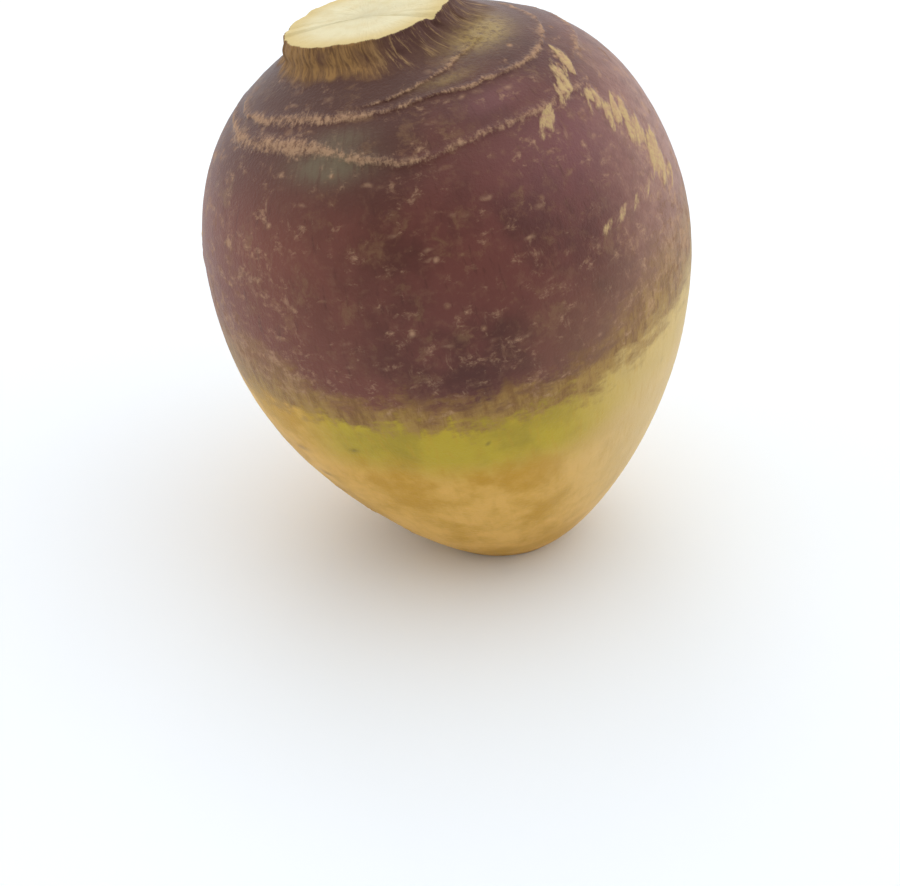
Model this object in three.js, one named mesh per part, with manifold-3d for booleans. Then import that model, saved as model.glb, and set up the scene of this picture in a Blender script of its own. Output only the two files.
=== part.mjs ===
// A whole rutabaga (swede) at its real size, in millimetres, with +Z up.
//
// The root is one solid piece. It leans, and it rests on the small flat face where its taproot was cut
// off. The leafy top has been cut off too, which leaves a short neck with a round cut face on the crown.
//
// The shape is worked out about the root's own axis, which runs from the taproot to the crown. Levels on
// that axis are counted from the widest level. The finished root is then leaned over, trimmed level at
// the bottom, and moved so that the origin is the middle of its footprint, on the surface it rests on.

import * as THREE from "three";
import { mergeVertices } from "three/addons/utils/BufferGeometryUtils.js";
import Module from "manifold-3d";

const { cos, sin, sqrt, max, min, abs, hypot, atan2, PI } = Math;
const degrees = PI / 180;

// ---- Driving dimensions ------------------------------------------------------------------------------

const BODY = {
  radius: 60, // at the widest level
  shoulder: 59.7, // from the widest level up to where the shoulder would close, if there were no neck
  root: 85.4, // from the widest level down to where the root's tip would be
  taper: 0.279, // how much slimmer than an ellipse the root end is
  fullness: 0.171, // how much fuller than an ellipse the shoulder is
};

const NECK = {
  level: 62, // of the cut face
  radius: 20.5, // of the cut face
  flare: 0.45, // growth of the radius for each millimetre down the neck
  fillet: 6, // over which the neck blends into the shoulder
  offset: -4.2, // of the cut face's centre from the axis, along X
  offsetFrom: 50, // level where the neck starts to move off the axis
};

// Ridges left by the fallen leaves: each ring is a low rounded ridge around the crown, which is not quite
// level. side is the angle around the axis where the ring runs highest.
const LEAF_RINGS = [
  { level: 43.5, rise: 2.4, side: 190, height: 0.8, width: 1.6 },
  { level: 51.0, rise: 1.6, side: -80, height: 0.7, width: 1.1 },
];

// The root is a little out of round: waves is how many times the radius swells on the way round.
const UNEVENNESS = [
  { waves: 2, size: 0.009, turn: 62 },
  { waves: 3, size: 0.007, turn: 20 },
  { waves: 5, size: 0.003, turn: 75 },
];

const LEAN = { left: 13.9, back: 7.3 }; // degrees, of the axis, towards -X and towards +Y
const TRIM = 6.5; // taken off the bottom, for the flat face

const GRID = { around: 72, lower: 17, upper: 27, neck: 8 }; // spans of the surface grid

// ---- The root's own surface --------------------------------------------------------------------------

// The larger of two values, rounded off over a span where they are nearly equal.
function smoothMax(a, b, span) {
  const nearness = max(span - abs(a - b), 0) / span;
  return max(a, b) + (nearness * nearness * span) / 4;
}

// 0 up to 0, 1 from 1 on, and an S-curve between.
function smoothStep(t) {
  const u = min(max(t, 0), 1);
  return u * u * (3 - 2 * u);
}

// Radius of the plain egg-shaped body: an ellipse, slimmer towards the root and fuller at the shoulder.
function bodyRadius(level) {
  const share = level < 0 ? level / BODY.root : min(level / BODY.shoulder, 1);
  const ellipse = BODY.radius * sqrt(max(1 - share * share, 0));
  const swell = level < 0 ? -BODY.taper : BODY.fullness;
  return ellipse * (1 + swell * share * share);
}

// Radius of the body and the neck together.
function rootRadius(level) {
  if (level < 0) return bodyRadius(level);
  const neck = NECK.radius + NECK.flare * (NECK.level - level);
  return smoothMax(bodyRadius(level), neck, NECK.fillet);
}

// Sideways place of the level's centre: zero on the body, growing up the neck.
function centreOffset(level) {
  return NECK.offset * smoothStep((level - NECK.offsetFrom) / (NECK.level - NECK.offsetFrom));
}

// How far the leaf rings stand out of the skin.
function ridgeHeight(level, angle) {
  let height = 0;
  for (const ring of LEAF_RINGS) {
    const distance = level - ring.level - ring.rise * cos(angle - ring.side * degrees);
    height += ring.height * Math.exp(-((distance / ring.width) ** 2));
  }
  return height;
}

// The radius's factor for the root's unevenness, which fades out towards the neck.
function unevenness(level, angle) {
  const fade = 1 - smoothStep((level - 30) / (NECK.level - 30));
  let swell = 0;
  for (const { waves, size, turn } of UNEVENNESS) {
    swell += size * cos(waves * (angle - turn * degrees));
  }
  return 1 + fade * swell;
}

// Levels of the grid's rows, from the root's tip to the cut face, closer together towards the crown.
function rowLevels() {
  const neckFoot = 0.915 * BODY.shoulder;
  const levels = [];
  for (let i = 0; i < GRID.lower; i += 1) {
    levels.push(-BODY.root * cos((i / GRID.lower) * 90 * degrees));
  }
  for (let i = 0; i < GRID.upper; i += 1) {
    levels.push(neckFoot * sin(((i / GRID.upper) * 90) * degrees));
  }
  for (let i = 0; i <= GRID.neck; i += 1) {
    levels.push(neckFoot + ((NECK.level - neckFoot) * i) / GRID.neck);
  }
  return levels;
}

// The closed surface: the plain profile turned round the axis, then each point moved to its real radius.
function rootGeometry() {
  const profile = rowLevels().map((level) => new THREE.Vector2(rootRadius(level), level));
  profile[0].x = 0;
  profile.push(new THREE.Vector2(0, NECK.level));
  const geometry = new THREE.LatheGeometry(profile, GRID.around).rotateX(PI / 2);
  const position = geometry.getAttribute("position");
  for (let i = 0; i < position.count; i += 1) {
    const level = position.getZ(i);
    const angle = atan2(position.getY(i), position.getX(i));
    const plain = hypot(position.getX(i), position.getY(i));
    const radius = plain > 0 ? plain * unevenness(level, angle) + ridgeHeight(level, angle) : 0;
    position.setX(i, radius * cos(angle) + centreOffset(level));
    position.setY(i, radius * sin(angle));
  }
  return geometry;
}

// ---- Cutting -----------------------------------------------------------------------------------------

const wasm = await Module();
wasm.setup();

// A closed three.js geometry as a solid that can be cut.
function toSolid(geometry) {
  const bare = geometry.clone();
  bare.deleteAttribute("normal");
  bare.deleteAttribute("uv");
  const merged = mergeVertices(bare, 1e-3);
  return new wasm.Manifold(
    new wasm.Mesh({
      numProp: 3,
      vertProperties: new Float32Array(merged.getAttribute("position").array),
      triVerts: new Uint32Array(merged.index.array),
    }),
  );
}

// A solid as a three.js geometry again.
function toGeometry(solid) {
  const { vertProperties, triVerts } = solid.getMesh();
  const geometry = new THREE.BufferGeometry();
  geometry.setAttribute("position", new THREE.BufferAttribute(vertProperties, 3));
  geometry.setIndex(new THREE.BufferAttribute(triVerts, 1));
  geometry.computeVertexNormals();
  return geometry;
}

// The leaning root with everything under the resting face taken away.
function trimmedRoot() {
  const leaning = rootGeometry().rotateY(-LEAN.left * degrees).rotateX(-LEAN.back * degrees);
  leaning.computeBoundingBox();
  const restingLevel = leaning.boundingBox.min.z + TRIM;
  const side = 4 * BODY.radius;
  const below = new THREE.BoxGeometry(side, side, side).translate(0, 0, restingLevel - side / 2);
  return toGeometry(toSolid(leaning).subtract(toSolid(below)));
}

// Moves a geometry so that the middle of its footprint is the origin and its lowest face is at zero.
function standAtOrigin(geometry) {
  geometry.computeBoundingBox();
  const { min: low, max: high } = geometry.boundingBox;
  return geometry.translate(-(low.x + high.x) / 2, -(low.y + high.y) / 2, -low.z);
}

// ---- The part ----------------------------------------------------------------------------------------

const skin = new THREE.MeshStandardMaterial({ color: "#71494a", roughness: 0.5, metalness: 0 });
const rutabaga = new THREE.Mesh(standAtOrigin(trimmedRoot()), skin);
rutabaga.name = "rutabaga";

const group = new THREE.Group();
group.add(rutabaga);

export default group;
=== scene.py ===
# %% [markdown]
# # A rutabaga
#
# A rutabaga is a single swollen root. Its leafy top has been cut off, which leaves a short neck with a
# pale cut face, and its taproot has been cut off too, which leaves the small flat face that it rests on.
# Between the two there is one skin: purple where the root stood in the light, and yellow below.
#
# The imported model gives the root's size and place. This script makes its real surface: the ragged scars
# that the leaves left around the crown, the fibres of the neck, the corky patches and the fine pits, and
# then the colours. Lengths are in metres unless a name says millimetres.

import math

import bpy
import numpy as np
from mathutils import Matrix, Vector


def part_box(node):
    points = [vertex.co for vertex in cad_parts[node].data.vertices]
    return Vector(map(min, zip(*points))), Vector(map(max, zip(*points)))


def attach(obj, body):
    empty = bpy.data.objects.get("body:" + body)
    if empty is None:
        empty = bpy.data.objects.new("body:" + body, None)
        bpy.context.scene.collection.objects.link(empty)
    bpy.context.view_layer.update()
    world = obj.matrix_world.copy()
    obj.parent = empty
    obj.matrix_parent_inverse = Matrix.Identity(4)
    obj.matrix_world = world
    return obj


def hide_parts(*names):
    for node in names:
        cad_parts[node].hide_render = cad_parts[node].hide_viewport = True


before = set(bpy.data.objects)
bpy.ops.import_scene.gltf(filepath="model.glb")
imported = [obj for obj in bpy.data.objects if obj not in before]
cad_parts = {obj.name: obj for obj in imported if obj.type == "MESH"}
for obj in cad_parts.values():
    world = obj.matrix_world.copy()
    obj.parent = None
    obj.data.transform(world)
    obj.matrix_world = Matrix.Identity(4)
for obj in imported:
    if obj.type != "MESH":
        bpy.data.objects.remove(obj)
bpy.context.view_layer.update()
NODE = "rutabaga"
node_low, node_high = (np.array(corner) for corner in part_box(NODE))
MM = 0.001
print("root's box, mm:", np.round(node_low / MM, 1), np.round(node_high / MM, 1))

# %% [markdown]
# ## The root's own axis
#
# A root grows around an axis from the taproot to the crown, and everything on it follows that axis: the
# leaf scars go round it and the fibres run along it. So the shape is worked out upright, about its own
# axis, in millimetres, and only at the end is it leaned over. Levels are counted up the axis from the
# widest level, and angles go round it, with -90 degrees at the front.

# %% Proportions of the root
RADIUS = 60.0  # at the widest level
SHOULDER = 59.7  # from the widest level up to where the shoulder would close
ROOT = 85.4  # from the widest level down to where the tip would be
TAPER = 0.279
FULLNESS = 0.171
NECK_LEVEL = 62.0  # of the cut face
NECK_RADIUS = 20.5
NECK_FLARE = 0.45
NECK_FILLET = 6.0
NECK_OFFSET = -4.2
NECK_OFFSET_FROM = 50.0
LEAN_LEFT = 13.9  # degrees
LEAN_BACK = 7.3
TRIM = 6.5  # taken off the bottom
UNEVENNESS = ((2, 0.009, 62.0), (3, 0.007, 20.0), (5, 0.003, 75.0))  # swells, size, turn in degrees


def smooth_step(value, low=0.0, high=1.0):
    """0 up to low, 1 from high on, and three times the square less twice the cube between."""
    t = np.clip((value - low) / (high - low), 0.0, 1.0)
    return t * t * (3.0 - 2.0 * t)


def smooth_max(a, b, span):
    """The larger of a and b, plus a rounding that is a quarter of the span where they are equal."""
    nearness = np.maximum(span - np.abs(a - b), 0.0) / span
    return np.maximum(a, b) + nearness**2 * span / 4.0


def plain_radius(level):
    """An ellipse, slimmer by the square of the depth below, fuller above, joined to the flaring neck."""
    share = np.where(level < 0.0, level / ROOT, np.minimum(level / SHOULDER, 1.0))
    ellipse = RADIUS * np.sqrt(np.maximum(1.0 - share**2, 0.0))
    body = ellipse * (1.0 + np.where(level < 0.0, -TAPER, FULLNESS) * share**2)
    neck = NECK_RADIUS + NECK_FLARE * (NECK_LEVEL - level)
    return np.where(level < 0.0, body, smooth_max(body, neck, NECK_FILLET))


def centre_offset(level):
    """How far along X the neck has moved off the axis: an S-curve from the shoulder to the cut face."""
    return NECK_OFFSET * smooth_step(level, NECK_OFFSET_FROM, NECK_LEVEL)


def unevenness(level, angle):
    """One plus a few waves round the axis, fading out towards the neck."""
    swell = sum(size * np.cos(waves * (angle - np.radians(turn))) for waves, size, turn in UNEVENNESS)
    return 1.0 + swell * (1.0 - smooth_step(level, 30.0, NECK_LEVEL))


def lean(points):
    """Turns points about Y towards -X by the left lean, then about X towards +Y by the back lean."""
    a, b = np.radians((LEAN_LEFT, LEAN_BACK))
    about_y = np.array([[np.cos(a), 0, -np.sin(a)], [0, 1, 0], [np.sin(a), 0, np.cos(a)]])
    about_x = np.array([[1, 0, 0], [0, np.cos(b), np.sin(b)], [0, -np.sin(b), np.cos(b)]])
    return points @ (about_x @ about_y).T


def around_axis(level, angle, radius):
    """Points at a level, an angle and a radius from the axis, with the neck's sideways offset."""
    return np.stack([radius * np.cos(angle) + centre_offset(level), radius * np.sin(angle), level], axis=-1)


# %% [markdown]
# ## The grid
#
# The surface is one grid of points: columns go round the axis, and rows go from the resting face up to
# the middle of the cut face. The first row has to lie exactly on the table, so for each column the level
# where the leaning skin meets the table is found first, by halving an interval again and again. Rows are
# then shared out along the skin's length, closer together towards the crown, where the detail is.

# %% Rows and columns
COLUMNS = 360
SKIN_ROWS = 226
RIM_ROWS = 5
FACE_ROWS = 20
BASE_ROWS = 9

table_levels = np.linspace(-ROOT, NECK_LEVEL, 4001)
table_radii = plain_radius(table_levels)
table_lengths = np.concatenate([[0.0], np.cumsum(np.hypot(np.diff(table_radii), np.diff(table_levels)))])
skin_length = table_lengths[-1]


def length_at(level):
    """Distance along the plain profile from the root's tip."""
    return np.interp(level, table_levels, table_lengths)


def level_at(length):
    """The inverse of length_at."""
    return np.interp(length, table_lengths, table_levels)


angles = np.arange(COLUMNS) * (2.0 * np.pi / COLUMNS)
sample_levels, sample_angles = np.meshgrid(np.linspace(-ROOT, NECK_LEVEL, 1200), angles, indexing="ij")
sample_radii = plain_radius(sample_levels) * unevenness(sample_levels, sample_angles)
plain_points = lean(around_axis(sample_levels, sample_angles, sample_radii))
rest_height = plain_points[..., 2].min() + TRIM


def height_above_rest(level):
    """Height of the plain leaning skin over the resting face, for one level in each column."""
    radius = plain_radius(level) * unevenness(level, angles)
    return lean(around_axis(level, angles, radius))[:, 2] - rest_height


below = np.full(COLUMNS, -ROOT)
above = np.zeros(COLUMNS)
for _ in range(40):
    middle = (below + above) / 2.0
    is_low = height_above_rest(middle) < 0.0
    below = np.where(is_low, middle, below)
    above = np.where(is_low, above, middle)
foot_levels = above
print("resting face from level", foot_levels.min().round(1), "to", foot_levels.max().round(1), "mm")

share = np.linspace(0.0, 1.0, SKIN_ROWS)
crowded = share * (1.0 + 0.55 * (1.0 - share))  # rows get closer together towards the crown
foot_lengths = length_at(foot_levels)
lengths = foot_lengths + (skin_length - foot_lengths) * crowded[:, None]
level = level_at(lengths)
angle = np.broadcast_to(angles, level.shape)
print("skin rows are", np.diff(lengths[:, 0])[[0, -1]].round(2), "mm apart at the root and at the crown")

# %% [markdown]
# ## Noise
#
# Nothing on a root repeats. A value noise gives smooth randomness that is the same in each run: every
# corner of a cubic lattice gets a number from its own coordinates, and between the corners the numbers
# are blended. Adding finer and weaker copies gives the rough look of natural surfaces.


# %% Seeded noise on whole arrays
def lattice_values(x, y, z, seed):
    """A number from -1 to 1 for each whole-numbered corner: its coordinates, multiplied and mixed."""
    h = (x * 374761393 + y * 668265263 + z * 1274126177 + seed * 974634777) & 0xFFFFFFFF
    h = ((h ^ (h >> 13)) * 1103515245) & 0xFFFFFFFF
    h = ((h ^ (h >> 15)) * 1911520717) & 0xFFFFFFFF
    return ((h ^ (h >> 16)) & 0xFFFFFF) / float(0x7FFFFF) - 1.0


def value_noise(points, seed):
    """The eight corner values of each point's lattice cell, blended with a five-power S-curve."""
    cell = np.floor(points).astype(np.int64)
    part = points - cell
    blend = part**3 * (part * (part * 6.0 - 15.0) + 10.0)
    total = np.zeros(points.shape[:-1])
    for dx, dy, dz in np.ndindex(2, 2, 2):
        corner = lattice_values(cell[..., 0] + dx, cell[..., 1] + dy, cell[..., 2] + dz, seed)
        weight = np.abs(1 - dx - blend[..., 0]) * np.abs(1 - dy - blend[..., 1])
        total += corner * weight * np.abs(1 - dz - blend[..., 2])
    return total


def noise(points, size, seed, octaves=3):
    """Copies of the value noise, each half as large and half as strong; size is the largest, in mm."""
    total = sum(value_noise(points * (2.0**k / size), seed + k) * 0.5**k for k in range(octaves))
    return total / sum(0.5**k for k in range(octaves))


def stretched(points_level, points_angle, reach, along):
    """Places on a drum of one radius, so that noise read there makes strokes of one length and width."""
    x = reach * np.cos(points_angle)
    y = reach * np.sin(points_angle)
    return np.stack([x, y, length_at(points_level) / along], axis=-1)


plain = around_axis(level, angle, plain_radius(level))
print("noise spread:", noise(plain, 20.0, 1).std().round(3))

# %% [markdown]
# ## Leaf scars
#
# Each leaf that dropped off left a curved scar partway round the crown. The scar heals as a low, pale,
# corky ridge with a small step below it, and the ends of a scar run into its neighbours'. A scar is a
# smooth curve through a few places given by angle and level, and its ridge is a bell curve across it. The
# distance from the nearest scar is kept for the material, which lays the cork and its short fibres on it.

# %% Where the scars run
# Each place on a scar is an angle in degrees, a level in mm and the scar's width there in mm.
LEAF_SCARS = (
    {"height": 0.7, "route": ((-195, 47.0, 1.6), (-160, 46.0, 2.0), (-118, 45.4, 2.6), (-97, 42.4, 1.6),
                              (-86, 40.8, 1.2), (-66, 42.0, 1.2), (-44, 41.0, 1.5), (-15, 41.5, 1.6))},
    {"height": 0.7, "route": ((-190, 49.6, 1.3), (-160, 49.4, 1.7), (-120, 50.3, 2.2), (-92, 50.6, 1.5),
                              (-75, 50.6, 1.1), (-50, 49.8, 1.2), (-30, 49.4, 1.3), (10, 52.2, 1.3),
                              (40, 54.0, 1.2))},
    {"height": 0.5, "route": ((-112, 51.8, 0.8), (-86, 52.4, 0.9), (-62, 53.6, 0.9), (-40, 54.6, 1.2),
                              (-12, 55.4, 1.2))},
    {"height": 0.7, "route": ((-25, 44.5, 1.2), (15, 47.2, 1.6), (50, 48.4, 1.7), (85, 46.6, 1.6),
                              (120, 44.0, 1.2))},
    {"height": 0.7, "route": ((40, 42.5, 1.2), (75, 40.6, 1.6), (110, 42.0, 2.0), (150, 45.5, 1.6),
                              (175, 47.0, 1.4))},
    {"height": 0.6, "route": ((60, 53.5, 1.2), (95, 51.8, 1.5), (130, 50.6, 1.6), (170, 50.0, 1.4))},
)


def route_value(route, at, column):
    """A curve through the route's values whose slope at each place is the mean slope of its two sides."""
    place, value = np.radians([p[0] for p in route]), np.array([p[column] for p in route])
    slope = np.gradient(value, place)
    i = np.clip(np.searchsorted(place, at) - 1, 0, len(place) - 2)
    gap = place[i + 1] - place[i]
    t = np.clip((at - place[i]) / gap, 0.0, 1.0)
    start = (1 + 2 * t) * (1 - t) ** 2 * value[i] + t * (1 - t) ** 2 * gap * slope[i]
    return start + t**2 * (3 - 2 * t) * value[i + 1] - t**2 * (1 - t) * gap * slope[i + 1]


def scar_ridges():
    """Height of the ridges, the step below them, and how much of a scar each place is, from 0 to 1."""
    ridge, step, scar_share = (np.zeros_like(level) for _ in range(3))
    wander = 1.3 * noise(plain, 11.0, 11) + 0.5 * noise(plain, 2.4, 13, 2)
    fringe = noise(plain, 3.0, 12, 4)
    patchy = 0.55 + 0.45 * smooth_step(noise(plain, 9.0, 14, 3), -0.4, 0.3)
    for scar in LEAF_SCARS:
        route = scar["route"]
        first, last = np.radians(route[0][0]), np.radians(route[-1][0])
        at = first + np.mod(angle - first, 2 * np.pi)
        held = np.minimum(at, last)
        ends = smooth_step(at, first, first + 0.4) * (1 - smooth_step(at, last - 0.4, last))
        width = 0.75 * route_value(route, held, 2)
        distance = lengths - length_at(route_value(route, held, 1)) + wander
        bell = np.exp(-((distance / width) ** 2))
        double = bell * (1.0 - 0.55 * np.exp(-((distance / (0.4 * width)) ** 2)) * (width > 1.4))
        ridge = np.maximum(ridge, ends * scar["height"] * double * (0.8 + 0.6 * fringe))
        below = smooth_step(-distance, -0.4, 0.8) * (1 - smooth_step(-distance, 1.0, 8.0))
        step = np.maximum(step, ends * below)
        ragged_bell = np.exp(-((np.abs(distance) / (width * (1.1 + 0.6 * fringe) + 0.1)) ** 2))
        scar_share = np.maximum(scar_share, ends * ragged_bell * patchy)
    return ridge, step, scar_share


scar_ridge, scar_step, scar_share = scar_ridges()
print("scar ridges up to", scar_ridge.max().round(2), "mm high")

# %% [markdown]
# ## The neck's fibres and the roughness of the skin
#
# The neck is the stub of the leaf stalks: woody strands run up it side by side, so it is grooved along
# its length. Lower down the skin is smooth and waxy, with shallow swellings and small pits. Where it has
# been rubbed or has split as the root swelled, it healed as scurf: pale corky strokes along the root that
# stand a hair proud. On the lower half two shallow furrows run towards the taproot, with the scars of the
# side roots in them.


# %% Finer relief
def unroll(place_angle, place_level):
    """How far each point lies from a place, in mm across the skin and up along it."""
    turn = np.mod(angle - np.radians(place_angle) + np.pi, 2 * np.pi) - np.pi
    return turn * plain_radius(level), lengths - length_at(place_level)


def patch(place_angle, place_level, width, height, slant=0.0):
    """A bell-shaped patch of a width and height in mm, which rises by the slant for each mm across."""
    across, up = unroll(place_angle, place_level)
    return np.exp(-((across / width) ** 2) - ((up - slant * across) / height) ** 2)


def band(route, width):
    """A bell curve of the least distance to the straight pieces between the route's places."""
    nearest = np.full_like(level, 1e3)
    for (angle_0, level_0), (angle_1, level_1) in zip(route[:-1], route[1:]):
        across, up = unroll(angle_0, level_0)
        step_across = np.radians(angle_1 - angle_0) * plain_radius(level)
        step_up = length_at(level_1) - length_at(level_0)
        part = (across * step_across + up * step_up) / (step_across**2 + step_up**2)
        part = np.clip(part, 0.0, 1.0)
        nearest = np.minimum(nearest, np.hypot(across - part * step_across, up - part * step_up))
    return np.exp(-((nearest / width) ** 2))


SCURF_BANDS = (
    (((-18, 46.4), (-30, 43.8), (-37, 41.4)), 2.6), (((-46, 39.6), (-52, 37.0)), 2.6),
    (((-29, 38.8), (-25, 35.6)), 2.2), (((-26, 35.0), (-22, 29.5), (-17, 20.6)), 5.0),
    (((-17, 20.6), (-14, 11.0)), 3.4), (((58, 36.0), (66, 30.0), (80, 26.0)), 4.2),
    (((140, 40.0), (150, 36.0)), 3.6), (((112, 26.0), (118, 12.0)), 3.6), (((-172, 22.0), (-176, 12.0)), 2.6),
)
SCURF_SLANT = 0.8 / RADIUS  # radians round the axis for each mm up along the skin
slanted_angle = angle - SCURF_SLANT * lengths
strokes = noise(stretched(level, slanted_angle, 50.0, 2.8), 2.6, 41, 3)
scurf_reach = np.maximum.reduce([band(route, width) for route, width in SCURF_BANDS])
scurf = smooth_step(0.8 * scurf_reach + 1.3 * strokes, 0.2, 1.0) * smooth_step(scurf_reach, 0.05, 0.3)
scratch = band(((-20, 16.5), (-26, 13.6), (-38, 13.2), (-46, 12.0)), 1.5)
scurf = np.maximum(scurf, 0.28 * smooth_step(scratch + 0.4 * strokes, 0.1, 0.9))

neck_share = smooth_step(level + 1.2 * noise(plain, 4.0, 22, 3), 54.2, 57.0)
strands = noise(stretched(level, angle + 0.12 * noise(plain, 6.0, 23, 2), 24.0, 2.6), 3.0, 21, 3)
neck_relief = neck_share * (0.8 * strands + 0.5 * noise(plain, 6.0, 24, 2))
swelling = 0.35 * noise(plain, 26.0, 31, 2) * (1.0 - neck_share)
rough = 0.06 * noise(plain, 2.6, 33, 2)
FURROWS = (35.0, 215.0)  # angles of the two root furrows, in degrees
furrow_fade = smooth_step(-level, 14.0, 50.0)
furrow = sum(patch(turn, -60.0, 5.5, 60.0) for turn in FURROWS) * furrow_fade
side_roots = np.zeros_like(level)
for count in range(10):
    turn = FURROWS[count % 2] + 5.0 * math.sin(2.4 * count)
    side_roots = side_roots + patch(turn, -24.0 - 4.6 * count, 2.6 + 0.3 * (count % 3), 0.9)
relief = scar_ridge - 0.35 * scar_step + neck_relief + swelling + rough
relief = relief + scurf * (0.18 + 0.12 * strokes) - 0.6 * furrow
relief = relief + 0.45 * side_roots * (0.7 + noise(plain, 2.0, 43, 2))
relief = relief * smooth_step(lengths - foot_lengths, 0.0, 3.0)  # the resting face's edge stays put
print("relief from", relief.min().round(2), "to", relief.max().round(2), "mm")

# %% [markdown]
# ## Putting the surface together
#
# Skin, rim, cut face and resting face are rows of the same grid, so the root is one closed surface. The
# rim is a quarter circle of half a millimetre, because a knife never leaves a perfectly sharp edge. The
# cut face dips a little towards its middle, as it dries. The resting face is flat and lies on the table.

# %% Skin, cut face and resting face
skin_radius = plain_radius(level) * unevenness(level, angle) + relief
RIM_ROUND = 0.7
notch = 1.2 * patch(-38, 61.5, 1.2, 2.5) - 0.9 * patch(-172, 61.8, 1.0, 1.5)
ragged = 0.35 * noise(stretched(np.full_like(angles, NECK_LEVEL), angles, 24.0, 9.0), 4.0, 51, 2)
top_drop = (0.35 + ragged) * smooth_step(level, 58.0, NECK_LEVEL) + notch
skin_points = around_axis(level, angle, skin_radius)
skin_points[..., 2] -= top_drop

turn_in = np.linspace(0.0, np.pi / 2.0, RIM_ROWS + 1)[1:, None]
edge = skin_points[-1]
edge_centre = np.array([centre_offset(NECK_LEVEL), 0.0, 0.0])
inward = (edge_centre - edge) * (1.0, 1.0, 0.0)
inward /= np.linalg.norm(inward, axis=-1, keepdims=True)
rim_points = edge + inward * (RIM_ROUND * (1 - np.cos(turn_in)))[..., None]
rim_points[..., 2] += RIM_ROUND * np.sin(turn_in)

inwards = np.linspace(1.0, 0.0, FACE_ROWS + 1)[1:, None]
face_centre = edge_centre + (0.0, 0.0, NECK_LEVEL + 0.15)
face_points = face_centre + (rim_points[-1] - face_centre) * inwards[..., None]
face_lift = 0.35 * (1 - inwards**2) + 0.12 * noise(face_points, 7.0, 61) * smooth_step(1 - inwards, 0.0, 0.1)
face_points[..., 2] += face_lift - 0.5 * np.exp(-((inwards / 0.35) ** 2))

upper = lean(np.concatenate([skin_points, rim_points, face_points]))
foot = lean(around_axis(foot_levels, angles, skin_radius[0]))
foot_centre = foot.mean(axis=0)
outwards = np.linspace(0.0, 1.0, BASE_ROWS + 1)[:-1, None, None]
base_points = foot_centre + (foot - foot_centre) * outwards
all_points = np.concatenate([base_points, upper])
all_points[: BASE_ROWS + 1, :, 2] = rest_height

plain_low = np.array([plain_points[..., 0].min(), plain_points[..., 1].min(), rest_height])
plain_high = plain_points.reshape(-1, 3).max(axis=0)
frame_shift = (node_low + node_high) / (2.0 * MM) - (plain_low + plain_high) / 2.0
frame_shift[2] = node_low[2] / MM - rest_height
all_points = all_points + frame_shift
print("moved into the frame by", frame_shift.round(2), "mm")
print("size of the surface, mm:", np.ptp(all_points.reshape(-1, 3), axis=0).round(1))

# %% [markdown]
# ## From grid to mesh
#
# Neighbouring rows and columns make four-sided faces, and a fan of triangles closes each pole. The mesh
# also carries what the materials need to know about each place: where it is about the root's own axis,
# how far it is from a scar, how corky it is, and how far it is above the edge of the purple. A flat map
# of angle against length along the skin is kept too, so that the finish can be baked without waste.

# %% One closed mesh
rows = all_points[1:-1]
row_count = len(rows)
points = np.concatenate([all_points[:1, 0], rows.reshape(-1, 3), all_points[-1:, 0]]) * MM
number = 1 + np.arange(row_count * COLUMNS).reshape(row_count, COLUMNS)
beside = np.roll(number, -1, axis=1)
quads = np.stack([number[:-1], beside[:-1], beside[1:], number[1:]], axis=-1).reshape(-1, 4)
low_fan = np.stack([np.zeros(COLUMNS, int), beside[0], number[0]], axis=-1)
high_fan = np.stack([np.full(COLUMNS, len(points) - 1), number[-1], beside[-1]], axis=-1)

mesh = bpy.data.meshes.new("rutabaga_root")
mesh.from_pydata(points, [], quads.tolist() + low_fan.tolist() + high_fan.tolist())
mesh.polygons.foreach_set("use_smooth", np.ones(len(mesh.polygons), bool))
print(len(points), "points,", 2 * len(quads) + 2 * COLUMNS, "triangles")


def on_all_rows(skin_values, rim_value, base_value):
    """Values on the skin's rows, with one value for the rim and cut face and one for the resting face."""
    top = np.full((RIM_ROWS + FACE_ROWS, COLUMNS), float(rim_value))
    bottom = np.full((BASE_ROWS, COLUMNS), float(base_value))
    return np.concatenate([bottom, skin_values, top])


def store(name, values):
    """One number for each point of the mesh, read by the material under this name."""
    flat = np.concatenate([values[:1, 0], values[1:-1].ravel(), values[-1:, 0]])
    mesh.attributes.new(name, "FLOAT", "POINT").data.foreach_set("value", flat.astype(np.float32))


def store_places(name, places):
    """One place in mm for each point of the mesh."""
    flat = np.concatenate([places[:1, 0], places[1:-1].reshape(-1, 3), places[-1:, 0]])
    mesh.attributes.new(name, "FLOAT_VECTOR", "POINT").data.foreach_set("vector", flat.ravel())


def upright(places):
    """Undoes the lean: the same turns the other way round."""
    return (places - frame_shift) @ lean(np.eye(3)).T


upright_points = upright(all_points)
rim_depth = RIM_ROUND * (1.0 - np.cos(turn_in))
face_depth = np.concatenate([rim_depth, RIM_ROUND + (1.0 - inwards) * NECK_RADIUS]) * np.ones(COLUMNS)
base_reach = outwards[..., 0] * np.ones(COLUMNS)
base_depth = (1.0 - base_reach) * np.linalg.norm(foot - foot_centre, axis=-1)
column_angle = np.broadcast_to(angles, all_points.shape[:2])
drum = np.stack([np.cos(column_angle), np.sin(column_angle)], axis=-1)
full_lengths = np.concatenate([lengths[:1] * base_reach, lengths, skin_length + 0.5 + face_depth])


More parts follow.
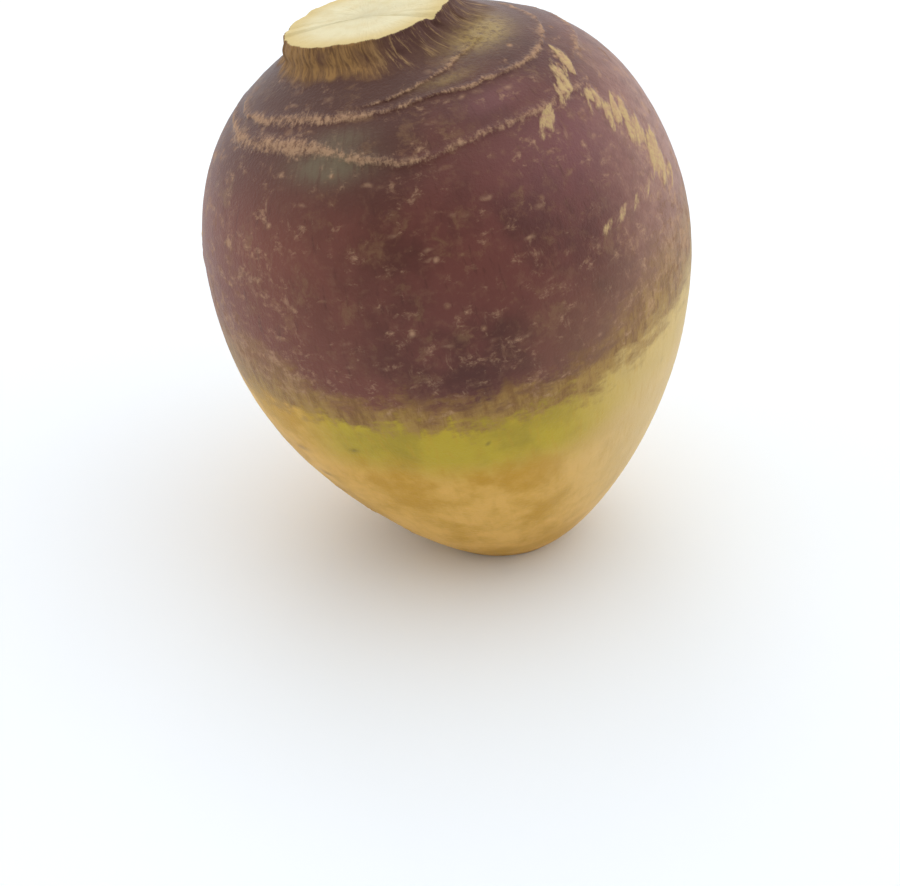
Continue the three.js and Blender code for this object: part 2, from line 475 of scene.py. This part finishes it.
# Clouds of other colours in the purple: violet high on the right, olive at the neck's foot, grey-green.
violet = np.clip(0.9 * patch(-40, 34.0, 26.0, 14.0) + patch(-58, 46.6, 9.0, 3.2), 0.0, 1.0)
olive = np.clip(1.3 * patch(-26, 55.0, 11.0, 4.0) + 0.5 * patch(-66, 52.0, 7.0, 1.6), 0.0, 1.0)
grey = np.clip(1.3 * patch(-112, 42.4, 10.0, 4.0) + 0.7 * patch(-108, 47.0, 7.0, 2.6), 0.0, 1.0)

# Where the purple ends: an angle in degrees and a level in mm, once round the root.
PURPLE_EDGE = ((-200, -16.0), (-146, -12.8), (-120, -15.8), (-97, -20.8), (-62, -23.4), (-30, -18.1),
               (0, -15.5), (50, -18.0), (100, -21.0), (160, -16.0))
edge_start = np.radians(PURPLE_EDGE[0][0])
purple_edge = route_value(PURPLE_EDGE, edge_start + np.mod(angle - edge_start, 2 * np.pi), 1)

# Dark spots where small side roots broke off: angle, level and radius in mm.
SPOTS = ((-121, -25.7, 1.1), (-110, -31.5, 0.6), (-87, -28.0, 0.6), (-30, -30.0, 0.6), (60, -27.0, 0.9), (150, -31.0, 0.8))
spot = sum(patch(turn, up, radius, 0.6 * radius) for turn, up, radius in SPOTS)

store_places("upright", upright_points)
store_places("drum", np.concatenate([RADIUS * drum, full_lengths[..., None]], axis=-1))
slanted_angle = column_angle - SCURF_SLANT * full_lengths
slanted = np.stack([np.cos(slanted_angle), np.sin(slanted_angle)], axis=-1)
store_places("slanted_drum", np.concatenate([RADIUS * slanted, full_lengths[..., None]], axis=-1))
store("scar", on_all_rows(scar_share, 0.0, 0.0))
store("scurf", on_all_rows(scurf, 0.0, 0.0))
store("violet", on_all_rows(violet, 0.0, 0.0))
store("olive", on_all_rows(olive, 0.0, 0.0))
store("grey", on_all_rows(grey, 0.0, 0.0))
store("spot", on_all_rows(spot, 0.0, 0.0))
store("neck", on_all_rows(neck_share, 1.0, 0.0))
store("side_root", on_all_rows(np.clip(side_roots, 0.0, 1.0), 0.0, 0.0))
store("above_edge", on_all_rows(level - purple_edge, 60.0, -60.0))
store("cut_depth", np.concatenate([base_depth, np.zeros_like(level), face_depth]))
store("strand", on_all_rows(np.clip(0.5 + 0.5 * strands, 0.0, 1.0), 0.5, 0.5))

columns_u = np.arange(COLUMNS) / COLUMNS
row_v = np.linspace(0.0, 1.0, row_count + 2)[1:-1]
v_of_row = np.interp(np.arange(row_count), np.arange(row_count), row_v)
quad_u = np.stack([columns_u, columns_u + 1 / COLUMNS, columns_u + 1 / COLUMNS, columns_u], axis=-1)
quad_v = np.stack([v_of_row[:-1], v_of_row[:-1], v_of_row[1:], v_of_row[1:]], axis=-1)
quad_uv = np.stack(np.broadcast_arrays(quad_u[None], quad_v[:, None]), axis=-1).reshape(-1, 2)
middle_u = columns_u + 0.5 / COLUMNS
low_uv = np.stack([np.stack([middle_u, columns_u + 1 / COLUMNS, columns_u], -1),
                   np.stack([0 * middle_u, 0 * middle_u + row_v[0], 0 * middle_u + row_v[0]], -1)], -1)
high_uv = np.stack([np.stack([middle_u, columns_u, columns_u + 1 / COLUMNS], -1),
                    np.stack([0 * middle_u + 1, 0 * middle_u + row_v[-1], 0 * middle_u + row_v[-1]], -1)], -1)
flat_map = mesh.uv_layers.new(name="OFBake")
flat_map.data.foreach_set("uv", np.concatenate([quad_uv.ravel(), low_uv.ravel(), high_uv.ravel()]))

root = bpy.data.objects.new("rutabaga_root", mesh)
bpy.context.scene.collection.objects.link(root)
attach(root, "root")
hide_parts(NODE)

# %% [markdown]
# ## Material helpers
#
# A procedural material is a small graph. These helpers add one node each and take sockets or plain
# values, so that a finish reads as a list of sentences: this noise, turned into that mask, mixes these
# two colours.


# %% Node helpers
def add_node(tree, kind, sockets, **settings):
    """A new node with its settings made and its input sockets linked or set."""
    made = tree.nodes.new(kind)
    for name, value in settings.items():
        setattr(made, name, value)
    for name, value in sockets.items():
        if isinstance(value, bpy.types.NodeSocket):
            tree.links.new(value, made.inputs[name])
        else:
            made.inputs[name].default_value = value
    return made


def calculate(tree, operation, first, second=0.0, third=0.0):
    """One Math node."""
    return add_node(tree, "ShaderNodeMath", {0: first, 1: second, 2: third}, operation=operation).outputs[0]


def ramp(tree, value, low, high, start=0.0, end=1.0):
    """The value taken smoothly from start to end as it goes from low to high."""
    sockets = {"Value": value, "From Min": low, "From Max": high, "To Min": start, "To Max": end}
    return add_node(tree, "ShaderNodeMapRange", sockets, interpolation_type="SMOOTHSTEP").outputs[0]


def mix(tree, factor, first, second, blend="MIX"):
    """Two colours mixed by a factor."""
    made = add_node(tree, "ShaderNodeMix", {0: factor, 6: first, 7: second}, data_type="RGBA", blend_type=blend)
    return made.outputs[2]


def stored(tree, name, output="Fac"):
    """What the mesh carries under this name."""
    return add_node(tree, "ShaderNodeAttribute", {}, attribute_name=name).outputs[output]


def stretch(tree, places, x, y, z):
    """Places multiplied along each axis: a large factor makes a pattern fine that way."""
    made = add_node(tree, "ShaderNodeVectorMath", {0: places, 1: (x, y, z)}, operation="MULTIPLY")
    return made.outputs[0]


def grain(tree, places, scale, detail=3.0, roughness=0.55, distortion=0.0):
    """Noise from 0 to 1 at the places, which are in mm; scale is in waves per mm."""
    sockets = {"Vector": places, "Scale": scale, "Detail": detail, "Roughness": roughness,
               "Distortion": distortion}
    return add_node(tree, "ShaderNodeTexNoise", sockets).outputs["Fac"]


def colour(red, green, blue):
    """A colour given as it looks on a screen, from 0 to 255, as the light that it stands for."""
    screen = np.array((red, green, blue)) / 255.0
    light = np.where(screen <= 0.04045, screen / 12.92, ((screen + 0.055) / 1.055) ** 2.4)
    return (*light, 1.0)


# %% [markdown]
# ## The finish
#
# The skin's colours lie in bands about the root's own axis. Above the soil the skin turned purple; below
# it stayed yellow, with a greener band just under the edge, where some light still reached. The purple
# is never even: it is redder on one side, more violet on the other, and rubbed through to tan in small
# strokes. Scars and scurf are the same dry tan, whatever they cross. Under the skin the flesh is cream,
# and it shows on the two cut faces.

# %% The purple
finish = bpy.data.materials.new("rutabaga_skin_and_flesh")
finish.use_nodes = True
tree = finish.node_tree
tree.nodes.clear()
upright_place = stored(tree, "upright", "Vector")
drum_place = stored(tree, "drum", "Vector")
side, front, height = add_node(tree, "ShaderNodeSeparateXYZ", {0: upright_place}).outputs
above_edge = stored(tree, "above_edge")

PURPLE = colour(106, 58, 49)
PURPLE_DARK = colour(82, 43, 35)
PURPLE_RED = colour(128, 74, 58)
VIOLET = colour(130, 82, 84)
CROWN_BROWN = colour(82, 48, 38)
CROWN_DARK = colour(74, 41, 27)
SMUDGE_TAN = colour(134, 100, 68)
LIMB_PINK_AND_PAINTED_LIGHT = colour(176, 132, 116)
GREY_GREEN = colour(114, 104, 80)
SMUDGE = colour(158, 132, 74)
TAN = colour(190, 152, 118)
TAN_DARK = colour(136, 98, 72)
YELLOW_TAN = colour(204, 176, 122)

bend = add_node(tree, "ShaderNodeTexNoise", {"Vector": upright_place, "Scale": 0.25, "Detail": 2.0}).outputs["Color"]
bend = add_node(tree, "ShaderNodeVectorMath", {0: bend, 1: (5.0, 5.0, 5.0)}, operation="MULTIPLY").outputs[0]
warped_place = add_node(tree, "ShaderNodeVectorMath", {0: upright_place, 1: bend}).outputs[0]
slight_bend = stretch(tree, bend, 0.4, 0.4, 0.4)
slightly_warped = add_node(tree, "ShaderNodeVectorMath", {0: upright_place, 1: slight_bend}).outputs[0]
clouds = grain(tree, upright_place, 0.05, 5.0, 0.6)
mottle = grain(tree, upright_place, 0.32, 4.0, 0.65)
streaks = grain(tree, stretch(tree, drum_place, 1.0, 1.0, 0.22), 0.7, 3.0, 0.6)
purple = mix(tree, ramp(tree, clouds, 0.36, 0.64), PURPLE_DARK, PURPLE)
purple = mix(tree, ramp(tree, side, 5.0, -50.0, 0.0, 0.8), purple, PURPLE_RED)
purple = mix(tree, calculate(tree, "MULTIPLY", stored(tree, "violet"), 0.75), purple, VIOLET)
grey_share = calculate(tree, "MULTIPLY", stored(tree, "grey"), ramp(tree, streaks, 0.25, 0.6, 0.45, 1.0))
purple = mix(tree, ramp(tree, mottle, 0.5, 0.72, 0.0, 0.3), purple, TAN_DARK)
purple = mix(tree, ramp(tree, streaks, 0.42, 0.28, 0.0, 0.45), purple, PURPLE_DARK)
# Crown brown with painted shade: it is laid on more heavily on the left side than on the right, which darkens the
# left of the crown as if less lit.
crown = calculate(tree, "MULTIPLY", ramp(tree, height, 26.0, 48.0), ramp(tree, side, 22.0, -22.0, 0.3, 0.9))
purple = mix(tree, crown, purple, CROWN_BROWN)
purple = mix(tree, ramp(tree, height, 47.0, 54.0, 0.0, 0.6), purple, CROWN_DARK)
purple = mix(tree, calculate(tree, "MULTIPLY", grey_share, 0.7), purple, GREY_GREEN)
smudges = ramp(tree, grain(tree, warped_place, 0.12, 5.0, 0.7), 0.54, 0.72, 0.0, 0.5)
purple = mix(tree, smudges, purple, SMUDGE_TAN)
# Pink scuffs and painted light: the right limb is made paler pink, standing in for the tent's light falling on that
# side.
pink_scuffs_and_painted_limb_light = calculate(tree, "MULTIPLY", ramp(tree, side, 36.0, 58.0, 0.0, 0.75), ramp(tree, mottle, 0.2, 0.7, 0.45, 1.0))
purple = mix(tree, pink_scuffs_and_painted_limb_light, purple, LIMB_PINK_AND_PAINTED_LIGHT)
# Worn tan and painted light: low down on the right the purple turns to a lighter tan-brown, as if lit from the
# right.
worn_tan_and_painted_low_right_light = calculate(tree, "MULTIPLY", ramp(tree, above_edge, 36.0, 8.0), ramp(tree, side, 5.0, 40.0, 0.0, 0.6))
purple = mix(tree, worn_tan_and_painted_low_right_light, purple, TAN_DARK)

# %% [markdown]
# The yellow below the soil line is a clear ochre, painted paler towards the right side as if lit from there. Its
# greener band is deepest in the middle of the front. A few dark spots mark where tiny roots broke off.

# %% The yellow
OLIVE = colour(186, 162, 40)
OLIVE_DARK = colour(164, 142, 36)
OCHRE = colour(222, 174, 84)
OCHRE_DEEP = colour(194, 146, 40)
PAINTED_LIGHT_OCHRE = colour(214, 186, 128)
SPOT = colour(110, 92, 40)

blotch = grain(tree, upright_place, 0.07, 4.0, 0.6)
ochre = mix(tree, ramp(tree, blotch, 0.36, 0.64), OCHRE_DEEP, OCHRE)
# Painted light: the ochre is made paler towards the right side, as if lit from there.
ochre = mix(tree, ramp(tree, side, 6.0, 42.0, 0.0, 0.8), ochre, PAINTED_LIGHT_OCHRE)
green = mix(tree, ramp(tree, clouds, 0.38, 0.6), OLIVE_DARK, OLIVE)
sinking = calculate(tree, "MULTIPLY_ADD", calculate(tree, "SUBTRACT", blotch, 0.5), 14.0, above_edge)
green_share = ramp(tree, sinking, -20.0, -8.0, 0.0, 0.95)
green_share = calculate(tree, "MULTIPLY", green_share, ramp(tree, side, 42.0, 16.0, 0.25, 1.0))
green_share = calculate(tree, "MULTIPLY", green_share, ramp(tree, side, -44.0, -28.0, 0.05, 1.0))
yellow = mix(tree, green_share, ochre, green)
yellow = mix(tree, ramp(tree, streaks, 0.5, 0.3, 0.0, 0.22), yellow, OCHRE_DEEP)
yellow = mix(tree, calculate(tree, "MULTIPLY", stored(tree, "spot"), 0.7), yellow, SPOT)

# %% [markdown]
# The edge between the two is a wide worn zone. Fine fibres of tan-brown run along the root there, and
# the purple lies over them like a ragged curtain.

# %% The worn edge
WORN = colour(166, 130, 64)
WORN_DARK = colour(128, 90, 44)
fibres_long = grain(tree, stretch(tree, drum_place, 1.0, 1.0, 0.3), 0.45, 5.0, 0.7)
wisps = grain(tree, stretch(tree, slightly_warped, 0.6, 0.6, 1.5), 0.2, 6.0, 0.66)
waves = grain(tree, upright_place, 0.08, 3.0, 0.6)
edge_place = calculate(tree, "MULTIPLY_ADD", calculate(tree, "SUBTRACT", fibres_long, 0.5), 12.0, above_edge)
edge_place = calculate(tree, "MULTIPLY_ADD", calculate(tree, "SUBTRACT", wisps, 0.5), 20.0, edge_place)
edge_place = calculate(tree, "MULTIPLY_ADD", calculate(tree, "SUBTRACT", waves, 0.5), 10.0, edge_place)
softness = ramp(tree, calculate(tree, "ABSOLUTE", side), 20.0, 50.0, 1.0, 0.5)
edge_place = calculate(tree, "MULTIPLY", edge_place, softness)
worn = mix(tree, ramp(tree, fibres_long, 0.35, 0.65), WORN_DARK, WORN)
skin = mix(tree, ramp(tree, edge_place, -3.5, 2.5), yellow, worn)
skin = mix(tree, ramp(tree, edge_place, 2.0, 11.0), skin, purple)

# %% [markdown]
# Where the purple has been rubbed, tan shows through in short strokes: a net of strokes that lie along
# the root at its sides, and small dots and dashes everywhere else.


# %% Strokes, dots and dashes
def cells(places, scale, reach_low, reach_high, share):
    """A mask of small marks: the middle of each Voronoi cell, in a share of the cells, each its own strength."""
    made = add_node(tree, "ShaderNodeTexVoronoi", {"Vector": places, "Scale": scale, "Randomness": 1.0})
    luck = add_node(tree, "ShaderNodeSeparateColor", {0: made.outputs["Color"]}).outputs[0]
    mark = ramp(tree, made.outputs["Distance"], reach_high, reach_low)
    return calculate(tree, "MULTIPLY", mark, ramp(tree, luck, share, 0.0))


in_purple = ramp(tree, edge_place, 0.0, 5.0)
away = calculate(tree, "ABSOLUTE", calculate(tree, "ADD", side, -4.0))
at_sides = ramp(tree, away, 26.0, 56.0)
low_down = ramp(tree, above_edge, 36.0, 4.0)
cluster = calculate(tree, "SUBTRACT", grain(tree, upright_place, 0.07, 2.0), 0.5)
need = calculate(tree, "MULTIPLY_ADD", at_sides, -0.08, 0.6)
need = calculate(tree, "MULTIPLY_ADD", low_down, -0.04, need)
need = calculate(tree, "MULTIPLY_ADD", cluster, -0.3, need)
net = grain(tree, stretch(tree, slightly_warped, 0.8, 0.8, 1.3), 0.3, 6.0, 0.72)
net_share = ramp(tree, calculate(tree, "SUBTRACT", net, need), -0.04, 0.14, 0.0, 0.6)
along = grain(tree, stretch(tree, drum_place, 1.0, 1.0, 0.5), 0.3, 6.0, 0.75, 0.5)
along_share = ramp(tree, calculate(tree, "SUBTRACT", along, need), 0.0, 0.16, 0.0, 0.5)
dots = cells(upright_place, 0.11, 0.0, 0.13, 0.9)
dashes = cells(stretch(tree, slightly_warped, 0.5, 0.5, 1.4), 0.24, 0.0, 0.26, 0.8)
marks = calculate(tree, "MAXIMUM", calculate(tree, "MULTIPLY", dots, 0.9), calculate(tree, "MULTIPLY", dashes, 0.55))
rubbed = calculate(tree, "MAXIMUM", marks, calculate(tree, "MAXIMUM", net_share, along_share))
rubbed = calculate(tree, "MULTIPLY", rubbed, in_purple)
skin = mix(tree, rubbed, skin, mix(tree, ramp(tree, mottle, 0.4, 0.6), TAN_DARK, TAN))

# %% Scars and scurf
fibres = grain(tree, stretch(tree, drum_place, 1.0, 1.0, 0.35), 0.9, 5.0, 0.75)
crumbs = grain(tree, upright_place, 0.7, 5.0, 0.75)
texture = calculate(tree, "SUBTRACT", calculate(tree, "ADD", fibres, crumbs), 1.0)
scar = stored(tree, "scar")
scarred = ramp(tree, calculate(tree, "MULTIPLY_ADD", texture, 1.8, scar), 0.2, 1.1, 0.0, 0.75)
scarred = calculate(tree, "MULTIPLY", scarred, ramp(tree, scar, 0.03, 0.3))
slanted_place = stored(tree, "slanted_drum", "Vector")
flakes = grain(tree, stretch(tree, slanted_place, 1.0, 1.0, 0.42), 0.36, 4.0, 0.62)
scurf_share = stored(tree, "scurf")
flaky = calculate(tree, "MULTIPLY_ADD", calculate(tree, "SUBTRACT", flakes, 0.5), 3.4, scurf_share)
flaky = calculate(tree, "MULTIPLY_ADD", texture, 0.8, flaky)
scurfy = ramp(tree, flaky, 0.05, 0.95, 0.0, 0.85)
scurfy = calculate(tree, "MULTIPLY", scurfy, ramp(tree, scurf_share, 0.02, 0.2))
skin = mix(tree, scarred, skin, mix(tree, ramp(tree, crumbs, 0.3, 0.55), TAN_DARK, TAN))
skin = mix(tree, scurfy, skin, mix(tree, ramp(tree, crumbs, 0.36, 0.6), TAN, YELLOW_TAN))
skin = mix(tree, calculate(tree, "MULTIPLY", stored(tree, "side_root"), 0.55), skin, TAN_DARK)
dry = calculate(tree, "MAXIMUM", scarred, scurfy)

# %% [markdown]
# The neck is woody. Its strands are ochre-brown on the left and dark purple-brown on the right, with a
# few pale fibres between them, and a smudge of olive lies at its foot.

# %% The neck
NECK_BROWN = colour(154, 116, 68)
NECK_DARK = colour(112, 80, 50)
NECK_PURPLE = colour(86, 56, 48)
NECK_PALE = colour(156, 124, 84)
strand = stored(tree, "strand")
strand_fine = grain(tree, stretch(tree, drum_place, 1.0, 1.0, 0.45), 0.36, 5.0, 0.72, 0.8)
bark = mix(tree, ramp(tree, strand_fine, 0.36, 0.6), NECK_DARK, NECK_BROWN)
bark_right = mix(tree, ramp(tree, strand_fine, 0.5, 0.72), NECK_PURPLE, NECK_PALE)
bark = mix(tree, ramp(tree, side, -8.0, 3.0), bark, bark_right)
bark = mix(tree, ramp(tree, strand, 0.42, 0.2, 0.0, 0.6), bark, NECK_PURPLE)
skin = mix(tree, ramp(tree, stored(tree, "neck"), 0.1, 0.9), skin, bark)
olive_fibres = calculate(tree, "MULTIPLY", stored(tree, "olive"), ramp(tree, crumbs, 0.3, 0.6, 0.25, 1.0))
skin = mix(tree, calculate(tree, "MULTIPLY", olive_fibres, 0.9), skin, SMUDGE)

# %% Flesh on the two cut faces
FLESH = colour(228, 218, 180)
FLESH_RIM = colour(214, 192, 134)
cut_depth = stored(tree, "cut_depth")
flesh_grain = grain(tree, upright_place, 0.3, 5.0, 0.6)
flesh = mix(tree, ramp(tree, cut_depth, 0.4, 9.0), FLESH_RIM, FLESH)
flesh = mix(tree, ramp(tree, flesh_grain, 0.35, 0.75, 0.0, 0.4), flesh, FLESH_RIM)
cut_place = calculate(tree, "MULTIPLY_ADD", calculate(tree, "SUBTRACT", fibres, 0.5), 0.8, cut_depth)
cut = ramp(tree, cut_place, 0.25, 0.5)
surface_colour = mix(tree, cut, skin, flesh)

# %% [markdown]
# Skin has a low waxy gloss, and everything dry or cut is dull. The finest relief is made by the shader:
# the fibres of the scars, the rubbed strokes and a fine grain.

# %% Gloss and finest relief
fine = grain(tree, upright_place, 1.4, 3.0, 0.65)
bump_height = calculate(tree, "MULTIPLY", fine, 0.5)
bump_height = calculate(tree, "MULTIPLY_ADD", scar, crumbs, bump_height)
bump_height = calculate(tree, "MULTIPLY_ADD", scurf_share, flakes, bump_height)
bump_height = calculate(tree, "MULTIPLY_ADD", stored(tree, "neck"), strand_fine, bump_height)
bumped = add_node(tree, "ShaderNodeBump", {"Height": bump_height, "Distance": 0.0005, "Strength": 0.7})
dull = calculate(tree, "MAXIMUM", calculate(tree, "MAXIMUM", dry, rubbed), cut)
dull = calculate(tree, "MAXIMUM", dull, stored(tree, "neck"))
shader = add_node(tree, "ShaderNodeBsdfPrincipled", {"Base Color": surface_colour, "Normal": bumped.outputs[0],
                                                     "Roughness": ramp(tree, dull, 0.0, 1.0, 0.44, 0.75)})
shader.inputs["IOR"].default_value = 1.4
shader.inputs["Specular IOR Level"].default_value = 0.4
add_node(tree, "ShaderNodeOutputMaterial", {"Surface": shader.outputs[0]})
mesh.materials.append(finish)
print(len(tree.nodes), "nodes in the finish")

# %% [markdown]
# ## The studio
#
# The root stands on a plain pale floor in soft light from all round, as in a light tent, so that its
# shadow is faint and its middle is darker than its sides. The camera looks down on it with a long lens.

# %% Floor, light and camera
floor_mesh = bpy.data.meshes.new("floor")
FLOOR_HALF = 3.0
corners = [(-FLOOR_HALF, -FLOOR_HALF, 0), (FLOOR_HALF, -FLOOR_HALF, 0), (FLOOR_HALF, FLOOR_HALF, 0), (-FLOOR_HALF, FLOOR_HALF, 0)]
floor_mesh.from_pydata(corners, [], [(0, 1, 2, 3)])
floor = bpy.data.objects.new("floor", floor_mesh)
bpy.context.scene.collection.objects.link(floor)
paper = bpy.data.materials.new("floor_paper")
paper.use_nodes = True
paper.node_tree.nodes["Principled BSDF"].inputs["Base Color"].default_value = (0.92, 0.96, 1.0, 1.0)
paper.node_tree.nodes["Principled BSDF"].inputs["Roughness"].default_value = 0.95
paper.node_tree.nodes["Principled BSDF"].inputs["Specular IOR Level"].default_value = 0.2
floor_mesh.materials.append(paper)

# The tent is darker on the camera's side, where there is no lit cloth.
TENT = 1.28
TENT_FRONT = 0.4
TO_THE_RIGHT = 0.1
world = bpy.data.worlds.new("tent")
world.use_nodes = True
sky = world.node_tree
looking = add_node(sky, "ShaderNodeTexCoord", {}).outputs["Generated"]
toward_x, toward_y, toward_z = add_node(sky, "ShaderNodeSeparateXYZ", {0: looking}).outputs
frontness = ramp(sky, toward_y, -0.15, -0.85)
sky_strength = ramp(sky, frontness, 0.0, 1.0, TENT, TENT_FRONT)
sky_strength = calculate(sky, "MULTIPLY", sky_strength, calculate(sky, "MULTIPLY_ADD", toward_x, TO_THE_RIGHT, 1.0))
sky.nodes["Background"].inputs["Color"].default_value = (0.98, 0.99, 1.0, 1.0)
sky.links.new(sky_strength, sky.nodes["Background"].inputs["Strength"])
bpy.context.scene.world = world


def softbox(name, place, aim, width, power):
    """A square area light at a place, turned to face the aim."""
    light = bpy.data.lights.new(name, "AREA")
    light.size = width
    light.energy = power
    made = bpy.data.objects.new(name, light)
    made.location = place
    made.rotation_euler = (Vector(aim) - Vector(place)).to_track_quat("-Z", "Y").to_euler()
    bpy.context.scene.collection.objects.link(made)


softbox("back_light", (-0.2, 1.0, 0.9), (0.0, 0.0, 0.07), 0.6, 1.5)

LENS = 100.0
SENSOR = 36.0
ELEVATION = math.radians(34.0)
AIM = np.array((0.65, 0.0, -58.4))  # mm from the widest level's middle
DISTANCE = 652.0  # mm
aim = (AIM + frame_shift) * MM
backwards = np.array((0.0, -math.cos(ELEVATION), math.sin(ELEVATION)))
camera_data = bpy.data.cameras.new("camera")
camera_data.lens = LENS
camera_data.sensor_width = SENSOR
camera = bpy.data.objects.new("camera", camera_data)
camera.location = aim + backwards * DISTANCE * MM
camera.rotation_euler = (math.pi / 2.0 - ELEVATION, 0.0, 0.0)
bpy.context.scene.collection.objects.link(camera)
bpy.context.scene.camera = camera
bpy.context.scene.view_settings.view_transform = "Standard"
bpy.context.scene.view_settings.look = "None"
